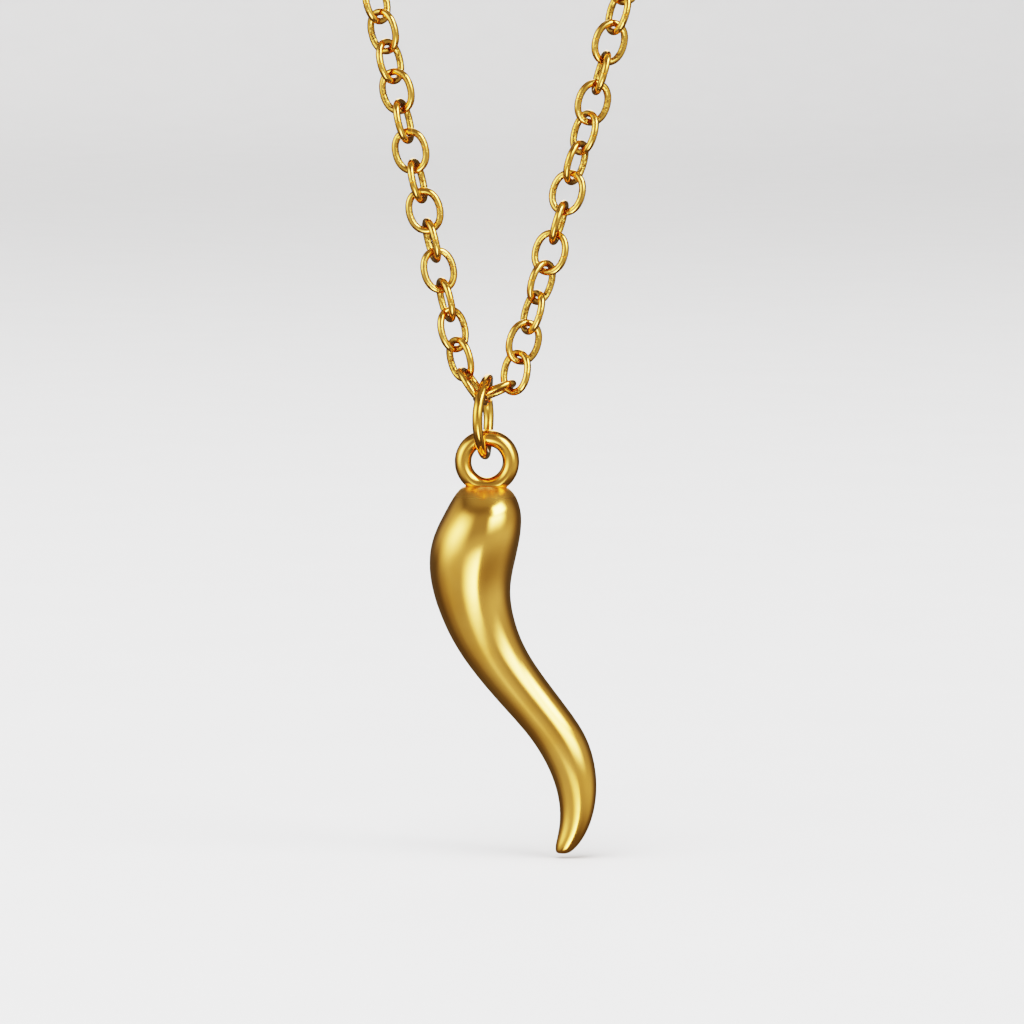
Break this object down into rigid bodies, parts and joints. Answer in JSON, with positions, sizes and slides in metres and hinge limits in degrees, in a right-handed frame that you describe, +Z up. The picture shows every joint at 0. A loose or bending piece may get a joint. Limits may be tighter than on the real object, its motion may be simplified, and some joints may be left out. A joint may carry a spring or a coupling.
{
  "type": "horn pendant necklace",
  "caption": "Polished metal horn pendant, bent like an S, hung by a jump ring from a round-wire cable chain with a plain clasp.",
  "frame": {"origin": "middle of the clasp at the top of the loop, where the chain hangs over the back of a neck", "axes": "+Z up, so the pendant hangs towards -Z; X across the neck; the front of the horn faces -Y"},
  "size_m": [0.087, 0.007, 0.2307],
  "materials": {
    "horn_gold": "mirror polished gold plate",
    "ring_gold": "polished gold plate",
    "chain_gold": "polished gold plate, slightly pitted",
    "clasp_gold": "polished gold plate"
  },
  "bodies": {
    "necklace": {"chain_left": "chain_gold", "chain_right": "chain_gold", "clasp": "clasp_gold"},
    "ring": {"jump_ring": "ring_gold"},
    "pendant": {"horn": "horn_gold"}
  },
  "joints": [
    {"name": "ring_swing", "type": "hinge", "parent": "necklace", "child": "ring", "pos_m": [-0.00008, 0, -0.19314], "axis": [0.9877, -0.1564, 0], "range_deg": [-75, 75]},
    {"name": "horn_swing", "type": "hinge", "parent": "ring", "child": "pendant", "pos_m": [-0.00008, 0, -0.19624], "axis": [0.1564, 0.9877, 0], "range_deg": [-80, 80]}
  ]
}
